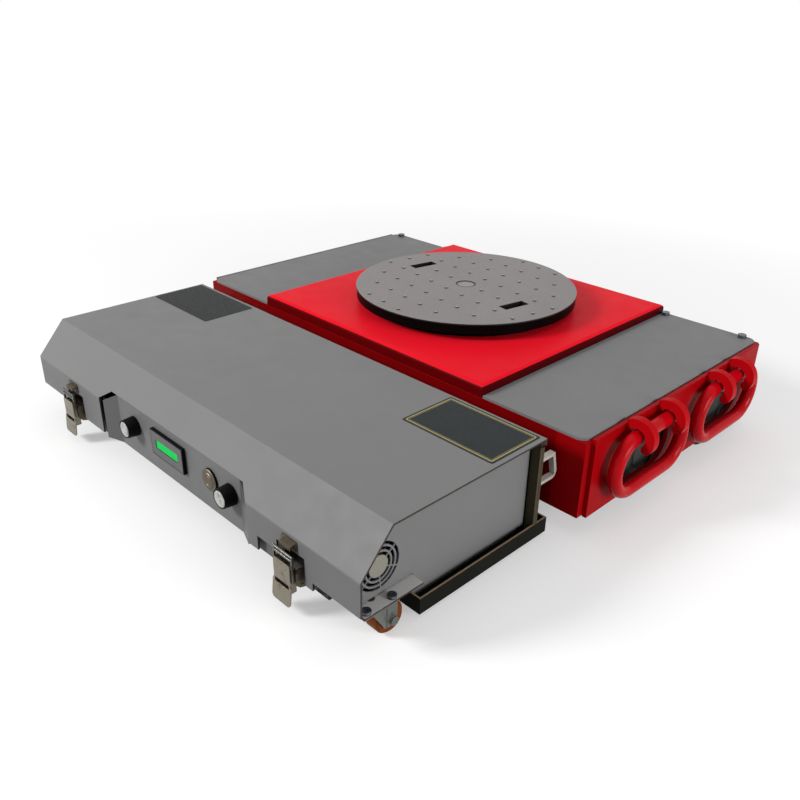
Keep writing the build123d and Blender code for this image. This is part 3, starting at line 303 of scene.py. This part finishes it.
def lit_screen(name, colour):
    """Green display: an even glow, with the faint cells of the display."""
    material, tree, shader = new_material(name)
    cells = tree.nodes.new("ShaderNodeTexBrick")
    cells.offset = 0.0
    cells.inputs["Scale"].default_value = 1.0
    cells.inputs["Brick Width"].default_value = 0.0034
    cells.inputs["Row Height"].default_value = 0.0055
    cells.inputs["Mortar Size"].default_value = 0.0002
    feed(tree, colour, cells.inputs["Color1"])
    feed(tree, shade(colour, 0.93), cells.inputs["Color2"])
    feed(tree, shade(colour, 0.8), cells.inputs["Mortar"])
    turn = tree.nodes.new("ShaderNodeMapping")
    turn.inputs["Rotation"].default_value = (radians(90), 0, 0)
    link(tree, place(tree), turn.inputs["Vector"])
    link(tree, turn.outputs["Vector"], cells.inputs["Vector"])
    link(tree, cells.outputs["Color"], shader.inputs["Base Color"])
    link(tree, cells.outputs["Color"], shader.inputs["Emission Color"])
    shader.inputs["Emission Strength"].default_value = 0.2
    shader.inputs["Specular IOR Level"].default_value = 0.03
    shader.inputs["Roughness"].default_value = 0.25
    return material


# Where the marks lie

table_middle = (*middle("turntable_disc")[:2], None)
table_shadow_radius = 0.165
centre_groove = (0.0145, 0.0172)
fan_middle = (None, *middle("fan_rotor_right")[1:])
vent_disc_radius = 0.0132
stud_low, stud_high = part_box("grip_studs")
stud_foot = stud_low[2] - 0.001
stud_shoulder = stud_low[2] + 0.7 * (stud_high[2] - stud_low[2])
lip_top = 0.097
latch_across = 0.264
latch_pad_half = 0.0255
latch_pad = (latch_across - latch_pad_half, latch_across + latch_pad_half)
lever_inside = (hood_front - 0.0105, hood_front + 0.02)
latch_ears = (0.0585, 0.08)
corner_slope = 0.3
corner_slope_top = 0.06
shelf_start = 0.32
tray_rim = (0.027, 0.029)
post_start = 0.363
post_edge_start = 0.3765
post_end = 0.3838
hooks_start = 0.419
hood_shade_end = hood_high[0] - 0.014

# tan: light brown on the top edges of the tray and the front edges of the back posts, a painted highlight.
tan = (0.3, 0.22, 0.14)
olive = (0.062, 0.055, 0.036)
# Dark brown for the hood's end edges and underside and the shelf's side edges: painted shade of the gaps
# and of the underside.
painted_edge_shade = (0.045, 0.036, 0.028)
# Near black for the marks that paint shade into recesses, slots, gaps and faces turned from the light.
painted_shade_black = (0.006, 0.006, 0.006)

# The hood's front lip is painted darker than its top: painted shade. Its end edges and underside get the
# dark edge colour: painted shade.
hood_marks = [([faces("Y", -1, 0.9), band("Z", 0, lip_top)], (0.15, 0.15, 0.151)),
              ([faces("X", 1)], painted_edge_shade),
              ([faces("X", -1)], painted_edge_shade),
              ([faces("Z", -1)], painted_edge_shade)]
# Front frame: the wall behind each latch and the sloped corners are near black, painted shade of the
# recesses; the shelf's top is painted lighter, painted light; its side edges get the dark edge colour,
# painted shade.
frame_marks = [([across(*latch_pad), faces("Y", -1)], painted_shade_black),
               ([across(corner_slope, past_end), faces("Y", -1), band("Z", 0, corner_slope_top)], painted_shade_black),
               ([across(shelf_start, past_end), faces("Z", 1)], (0.5, 0.49, 0.48)),
               ([across(shelf_start, past_end), faces("X", -1)], painted_edge_shade),
               ([across(shelf_start, past_end), faces("X", 1)], painted_edge_shade)]
# Faces of the control panel that lean to -X are painted darker: painted shade.
panel_marks = [([leaning("X", -0.85, -0.12)], (0.08, 0.081, 0.082))]
# The tray's top rim faces are painted tan: a painted highlight.
tray_marks = [([faces("Z", 1), band("Z", *tray_rim)], tan)]
# The front edge of each back post is painted tan: a painted highlight.
back_marks = [([across(post_start, post_end)], olive),
              ([across(post_edge_start, post_end), faces("Y", -1)], tan)]
# The hook ends of the end plates are painted a lighter red than the plate: painted light.
plate_marks = [([across(hooks_start, past_end)], (0.42, 0.002, 0.005)),
               ([band("X", -past_end, 0), faces("Z", 1)], (0.15, 0.15, 0.15))]
# The chassis front faces behind the hood are painted darker: the hood's painted shadow.
chassis_marks = [([band("X", -past_end, hood_shade_end), faces("Y", -1)], (0.19, 0.001, 0.002))]
# The turntable's side faces and a ring round the kingpin are near black: painted shade of the edge and of
# the groove.
table_marks = [([leaning("Z", -0.6, 0.6)], painted_shade_black),
               ([ring(table_middle, *centre_groove)], (0.012, 0.012, 0.012))]
# The cover under the turntable is near black, the turntable's painted shadow; its front and right faces are
# darker: painted shade.
cover_marks = [([ring(table_middle, 0, table_shadow_radius)], (0.002, 0.001, 0.002)),
               ([faces("Y", -1, 0.8)], (0.12, 0.001, 0.002)),
               ([faces("X", 1, 0.8)], (0.06, 0.001, 0.002))]
# A near-black band round the foot of each stud: painted shade.
stud_marks = [([band("Z", stud_foot, stud_shoulder)], painted_shade_black)]
vent_marks = [([ring(fan_middle, 0, vent_disc_radius)], (0.25, 0.24, 0.2))]
# The inside front faces of each lever are near black: painted shade behind the slot.
lever_marks = [([faces("Y", -1), band("Y", *lever_inside)], painted_shade_black)]
# The button's faces that don't look to the front are near black: painted shade.
button_marks = [([leaning("Y", -0.55, past_one)], painted_shade_black)]
# The front faces of each latch base at the height of the ears are near black: painted shade of the cut-out.
base_marks = [([faces("Y", -1), band("Z", *latch_ears)], painted_shade_black)]

# Paints

box_black = {"colour": (0.0105, 0.0105, 0.0085), "roughness": 0.6, "patch": 0.15, "specular": 0.02,
             "dust": 0.01}
thick_paint = {"grain": 500.0, "depth": 0.00005, "edge": 0.001, "specular": 0.03}
grey_hood = paint("hood grey", (0.19, 0.188, 0.187), roughness=0.45, patch=0.03, specular=0.1,
                  marks=hood_marks)
grey_end = paint("end grey", (0.18, 0.18, 0.181), roughness=0.46, patch=0.04, specular=0.15,
                 marks=vent_marks)
grey_panel = paint("panel grey", (0.142, 0.143, 0.145), roughness=0.45, patch=0.04, specular=0.15,
                   marks=panel_marks)
grey_frame = paint("frame grey", (0.115, 0.116, 0.118), roughness=0.5, patch=0.05, specular=0.08,
                   marks=frame_marks)
grey_deck = paint("deck grey", (0.188, 0.188, 0.189), roughness=0.5, patch=0.05, specular=0.1)
tray_black = paint("tray black", **box_black, marks=tray_marks)
back_black = paint("back panel black", **box_black, marks=back_marks)
red = paint("dolly red", (0.8, 0.008, 0.02), roughness=0.34, patch=0.05, grain=500.0, depth=0.00005,
            edge=0.0012, specular=0.02, marks=cover_marks)
# The chassis and end plate reds are the dolly red darkened: painted shade of the dolly's sides.
shaded_chassis_red = paint("chassis red", (0.29, 0.001, 0.003), roughness=0.36, patch=0.07, **thick_paint,
                 marks=chassis_marks)
shaded_end_red = paint("end plate red", (0.32, 0.001, 0.003), roughness=0.34, patch=0.07, **thick_paint,
                marks=plate_marks)
red_gloss = paint("ring red", (0.42, 0.001, 0.005), roughness=0.2, patch=0.08, grain=500.0, depth=0.00006,
                  edge=0.0008, specular=0.08)
stud_steel = paint("stud steel", (0.3, 0.28, 0.28), roughness=0.3, patch=0.1, specular=0.6, edge=0.0002,
                   marks=stud_marks)
table_black = paint("table black", (0.0022, 0.002, 0.002), roughness=0.3, patch=0.1, specular=0.02)

# Metals

nickel = metal("latch nickel", (0.25, 0.225, 0.172), roughness=0.36, stain=(0.035, 0.02, 0.01),
               marks=lever_marks)
nickel_base = metal("latch base nickel", (0.13, 0.11, 0.08), roughness=0.4, stain=(0.05, 0.03, 0.015),
                    marks=base_marks)
nickel_dark = metal("keeper nickel", (0.1, 0.085, 0.06), roughness=0.42, stain=(0.16, 0.06, 0.02))
nickel_button = metal("button nickel", (0.14, 0.118, 0.088), roughness=0.48, stain=(0.07, 0.04, 0.02),
                      marks=button_marks)
chrome = metal("chrome", (0.15, 0.145, 0.13), roughness=0.18, lines=300.0, depth=0.0, edge=0.0, patch=0.1)
zinc = metal("zinc", (0.17, 0.18, 0.165), roughness=0.42, stain=(0.05, 0.04, 0.03))
bolt_steel = metal("bolt steel", (0.13, 0.135, 0.15), roughness=0.3, stain=(0.03, 0.03, 0.03))
strap = metal("strap steel", (0.5, 0.48, 0.43), roughness=0.42, grain=(1, 4, 4), patch=0.05, metallic=0.4)
machined = metal("machined steel", (0.25, 0.235, 0.232), roughness=0.5, patch=0.1, metallic=0.1)
bronze = metal("bronze", (0.55, 0.36, 0.16), roughness=0.35)
cast_grey = metal("cast grey", (0.24, 0.245, 0.25), roughness=0.5, metallic=0.5, lines=260.0,
                  depth=0.0001)
hub_grey = metal("hub grey", (0.045, 0.055, 0.05), roughness=0.45, metallic=0.5, lines=300.0,
                 depth=0.00006)
cap_pale = metal("cap pale", (0.5, 0.5, 0.48), roughness=0.32, lines=220.0, patch=0.25, metallic=0.6,
                 stain=(0.06, 0.06, 0.06))
table_steel = speckled_steel("table steel", (0.245, 0.224, 0.224), table_marks)

# Plastics and rubber

smooth_film = {"grain": 400.0, "depth": 0.00001}
black = plastic("black plastic", (0.005, 0.005, 0.005), roughness=0.4, specular=0.05)
tyre_black = plastic("tyre black", (0.008, 0.008, 0.008), roughness=0.6, grain=700.0, depth=0.00008,
                     specular=0.1)
tread = plastic("caster tread", (0.15, 0.036, 0.007), roughness=0.4, grain=900.0, specular=0.06,
                patch=0.25)
battery = plastic("battery", (0.03, 0.045, 0.08), roughness=0.4)
label_black = plastic("label black", (0.02, 0.024, 0.026), roughness=0.4, **smooth_film, specular=0.08)
label_gold = plastic("label gold", (0.3, 0.265, 0.1), roughness=0.4, **smooth_film, specular=0.2)
label_grey = plastic("label charcoal", (0.019, 0.02, 0.021), roughness=0.45, **smooth_film, specular=0.08)
meter_grey = plastic("meter grey", (0.1, 0.1, 0.103), roughness=0.45, specular=0.2)
screen_green = lit_screen("screen green", (0.002, 0.5, 0.08))

# The material of each node, by its name or by the start that it shares with others

finish = {
    "hood": grey_hood, "end_panel": grey_end, "control_panel": grey_panel, "front_frame": grey_frame,
    "base_tray": tray_black, "back_panel": back_black, "battery_packs": battery,
    "motor_controller": cast_grey, "meter_bezel": black, "meter_screen": screen_green,
    "button_bezel": nickel_button, "push_button": nickel_button, "dial": black, "dial_cap": cap_pale,
    "fan_rotor": black, "fan_housings": black, "latch_keepers": nickel_dark, "latch_bases": nickel_base,
    "latch_lever": nickel, "latch_bail": chrome, "caster_plates": zinc, "caster_fork": zinc,
    "caster_wheel": tread, "chassis_plates": shaded_chassis_red, "side_rails": shaded_chassis_red, "centre_plate": shaded_chassis_red,
    "end_plate": shaded_end_red, "deck_plates": grey_deck, "center_cover": red, "fasteners": bolt_steel,
    "turntable_disc": table_steel, "turntable_rim": table_black, "grip_studs": stud_steel,
    "kingpin": machined, "thrust_washer": bronze, "lifting_ring": red_gloss, "wheel_tyre": tyre_black,
    "wheel_hub": hub_grey, "gear_motors": cast_grey, "bearing_units": cast_grey, "couplings": strap,
}
for name, node in nodes.items():
    longest = max((start for start in finish if name.startswith(start)), key=len)
    node.data.materials.clear()
    node.data.materials.append(finish[longest])


# Pieces that the solids leave to the surface

def rounded(x, y, radius, steps=6):
    """Corner points of a rectangle with round corners, anticlockwise."""
    corners = ((x[1] - radius, y[0] + radius, -90), (x[1] - radius, y[1] - radius, 0),
               (x[0] + radius, y[1] - radius, 90), (x[0] + radius, y[0] + radius, 180))
    points = []
    for corner_x, corner_y, start in corners:
        for step in range(steps + 1):
            angle = radians(start + 90 * step / steps)
            points.append((corner_x + radius * cos(angle), corner_y + radius * sin(angle)))
    return points


def shrunk(limits, by):
    """Limits moved towards each other."""
    return limits[0] + by, limits[1] - by


def finish_piece(mesh, name, material, body):
    data = bpy.data.meshes.new(name)
    mesh.to_mesh(data)
    mesh.free()
    piece = bpy.data.objects.new(name, data)
    bpy.context.scene.collection.objects.link(piece)
    data.materials.append(material)
    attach(piece, body)


def band_of_faces(mesh, first, second):
    """Join two rings of points by faces."""
    count = len(first)
    for i in range(count):
        after = (i + 1) % count
        mesh.faces.new((first[i], first[after], second[after], second[i]))


def sheet_plate(name, outer, inner, z, material, body, basis=Matrix.Identity(4), ease=0.0001):
    """A thin plate between two heights, with eased top edges, and a hole if an inner outline is given."""
    mesh = bmesh.new()
    rings = []
    outlines = [(outer, 1.0)] + ([(inner, -1.0)] if inner else [])
    centre = Vector((sum(p[0] for p in outer) / len(outer), sum(p[1] for p in outer) / len(outer)))
    for outline, sense in outlines:
        for height, shrink in ((z[0], 0.0), (z[1] - ease, 0.0), (z[1], ease)):
            points = []
            for x, y in outline:
                away = (Vector((x, y)) - centre).normalized() * shrink * sense
                points.append(mesh.verts.new(basis @ Vector((x - away.x, y - away.y, height))))
            rings.append(points)
    for first, second in zip(rings[:3], rings[1:3]):
        band_of_faces(mesh, first, second)
    if inner:
        for first, second in zip(rings[3:], rings[4:]):
            band_of_faces(mesh, second, first)
        band_of_faces(mesh, rings[2], rings[5])
        band_of_faces(mesh, rings[3], rings[0])
    else:
        mesh.faces.new(rings[2])
        mesh.faces.new(rings[0][::-1])
    bmesh.ops.recalc_face_normals(mesh, faces=mesh.faces)
    finish_piece(mesh, name, material, body)


# The two plates on the hood: where they lie from the hood's middle and front, and how thick they are

label_heights = (hood_top + 0.00002, hood_top + 0.0004)
line_heights = (hood_top + 0.0003, hood_top + 0.00052)
label_corner = 0.003
line_inner_corner = 0.002
line_ease = 0.00005
right_label = ((0.226, 0.373), (0.207, 0.298))
left_label = ((-0.376, -0.219), (0.206, 0.297))
gold_lines = ((0.0028, 0.0022), (0.0062, 0.0006))


def hood_label(name, size, material, lines=()):
    """A thin plate on the hood's top, with lines round it, each by its gap from the edge and its width."""
    x = (middle_x + size[0][0], middle_x + size[0][1])
    y = (hood_front + size[1][0], hood_front + size[1][1])
    sheet_plate(name, rounded(x, y, label_corner), None, label_heights, material, "hood")
    for index, (gap, width) in enumerate(lines):
        outer = rounded(shrunk(x, gap), shrunk(y, gap), label_corner)
        inner = rounded(shrunk(x, gap + width), shrunk(y, gap + width), line_inner_corner)
        sheet_plate(f"{name}_line_{index}", outer, inner, line_heights, label_gold, "hood",
                    ease=line_ease)


hood_label("hood_plate_right", right_label, label_black, gold_lines)
hood_label("hood_plate_left", left_label, label_grey)


# Plates that stand upright: the meter's face and a black strip behind the slot of each latch lever, a sheet
# of painted shade

upright = Matrix(((1, 0, 0, 0), (0, 0, -1, 0), (0, 1, 0, 0), (0, 0, 0, 1)))
face_margin = 0.0015
face_corner = 0.001
face_sheet = 0.0003
screen_gap = 0.0006
strip_depth = 0.0053
strip_sheet = 0.0004
strip_half = 0.0125
strip_height = (0.031, 0.044)
strip_corner = 0.0015


def meter_face():
    low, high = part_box("meter_bezel")
    outer = rounded(shrunk((low[0], high[0]), face_margin), shrunk((low[2], high[2]), face_margin),
                    face_corner)
    front = low[1]
    low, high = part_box("meter_screen")
    inner = rounded(shrunk((low[0], high[0]), -screen_gap), shrunk((low[2], high[2]), -screen_gap),
                    face_corner)
    sheet_plate("meter_face", outer, inner, (-front, -(front - face_sheet)), meter_grey, "chassis",
                upright)


# A black sheet behind the lever's slot: painted shade.
def lever_shade_strip(side):
    lever = f"latch_lever_{side}"
    centre = middle(lever)[0]
    outer = rounded((centre - strip_half, centre + strip_half), strip_height, strip_corner)
    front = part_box(lever)[0][1] + strip_depth
    sheet_plate(f"lever_shade_strip_{side}", outer, None, (-(front + strip_sheet), -front), black,
                f"lever_{side}", upright)


meter_face()
for side in ("right", "left"):
    lever_shade_strip(side)


# Camera at the photograph's angle

camera_from_box = (0.8657, -0.4311, 0.6345)
camera_azimuth = 45.22
camera_elevation = 26.87
camera_roll = 1.09
focal_pixels = 821.4
picture_pixels = 800
sensor_width = 36.0


def aim(position, azimuth, elevation, roll):
    """The placing of a camera at a position, turned by angles in degrees."""
    az, el, turn = radians(azimuth), radians(elevation), radians(roll)
    right = Vector((cos(az), sin(az), 0))
    up = Vector((-sin(el) * sin(az), sin(el) * cos(az), cos(el)))
    back = Vector((sin(az) * cos(el), -cos(az) * cos(el), sin(el)))
    rolled_right = right * cos(turn) + up * sin(turn)
    rolled_up = up * cos(turn) - right * sin(turn)
    matrix = Matrix((rolled_right, rolled_up, back)).transposed().to_4x4()
    matrix.translation = Vector(position)
    return matrix


camera_data = bpy.data.cameras.new("camera")
camera = bpy.data.objects.new("camera", camera_data)
bpy.context.scene.collection.objects.link(camera)
camera_place = Vector((middle_x, hood_front, 0)) + Vector(camera_from_box)
camera.matrix_world = aim(camera_place, camera_azimuth, camera_elevation, camera_roll)
camera_data.sensor_fit = "HORIZONTAL"
camera_data.sensor_width = sensor_width
camera_data.lens = focal_pixels / picture_pixels * sensor_width
camera_data.clip_start = 0.01
bpy.context.scene.camera = camera


# Light, floor and backdrop

white = (1.0, 1.0, 1.0)
world_light = 0.42
floor_half = 40
floor_pale = (0.62, 0.62, 0.62)
floor_glow = 0.38
floor_bounce = (0.5, 0.5, 0.5)
floor_near = 0.75
floor_far = 1.5


def background_rays(tree):
    """1 for the rays that look at the backdrop: from the camera, off gloss or through glass."""
    path = tree.nodes.new("ShaderNodeLightPath")
    result = path.outputs["Is Camera Ray"]
    for kind in ("Is Glossy Ray", "Is Transmission Ray"):
        result = maths(tree, "MAXIMUM", result, path.outputs[kind])
    return result


def make_world():
    """Soft light from all sides, and a white backdrop."""
    world = bpy.data.worlds.new("world")
    bpy.context.scene.world = world
    world.use_nodes = True
    tree = world.node_tree
    lighting = tree.nodes["Background"]
    seen = tree.nodes.new("ShaderNodeBackground")
    for node, strength in ((lighting, world_light), (seen, 1.0)):
        feed(tree, white, node.inputs["Color"])
        node.inputs["Strength"].default_value = strength
    backdrop = blend(tree, background_rays(tree), lighting, seen)
    link(tree, backdrop.outputs[0], tree.nodes["World Output"].inputs["Surface"])


def lamp(name, position, target, size, power):
    """A round soft lamp, turned to a target."""
    data = bpy.data.lights.new(name, "AREA")
    data.shape = "DISK"
    data.size = size
    data.energy = power
    light = bpy.data.objects.new(name, data)
    bpy.context.scene.collection.objects.link(light)
    direction = Vector(target) - Vector(position)
    turn = direction.to_track_quat("-Z", "Y").to_matrix().to_4x4()
    light.matrix_world = Matrix.Translation(position) @ turn


def floor_material():
    """A pale floor that keeps the shadow near the object and turns into the white backdrop farther out."""
    material, tree, shader = new_material("floor")
    feed(tree, floor_bounce, shader.inputs["Base Color"])
    shader.inputs["Roughness"].default_value = 0.9
    shader.inputs["Specular IOR Level"].default_value = 0.1
    pale = tree.nodes.new("ShaderNodeBsdfDiffuse")
    feed(tree, floor_pale, pale.inputs["Color"])
    glow = tree.nodes.new("ShaderNodeEmission")
    glow.inputs["Strength"].default_value = floor_glow
    near = tree.nodes.new("ShaderNodeAddShader")
    link(tree, pale.outputs[0], near.inputs[0])
    link(tree, glow.outputs[0], near.inputs[1])
    far = tree.nodes.new("ShaderNodeEmission")
    fade = spread(tree, length(tree, place(tree)), 0, 1, floor_near, floor_far)
    seen = blend(tree, fade, near, far)
    chosen = blend(tree, background_rays(tree), shader, seen)
    link(tree, chosen.outputs[0], tree.nodes["Material Output"].inputs["Surface"])
    return material


def make_floor():
    mesh = bmesh.new()
    for x, y in ((-1, -1), (1, -1), (1, 1), (-1, 1)):
        mesh.verts.new((x * floor_half, y * floor_half, 0))
    mesh.faces.new(mesh.verts)
    data = bpy.data.meshes.new("floor")
    mesh.to_mesh(data)
    mesh.free()
    floor = bpy.data.objects.new("floor", data)
    bpy.context.scene.collection.objects.link(floor)
    data.materials.append(floor_material())


make_world()
lamp("key", position=(-1.7, -2.95, 2.15), target=(0, -0.1, 0.05), size=1.1, power=125.0)
lamp("over", position=(0.2, 0.3, 2.6), target=(0, 0, 0), size=2.2, power=5.0)
lamp("side", position=(2.4, 0.35, 0.6), target=(0, 0, 0.08), size=1.0, power=31.0)
make_floor()

bpy.context.scene.view_settings.view_transform = "Standard"
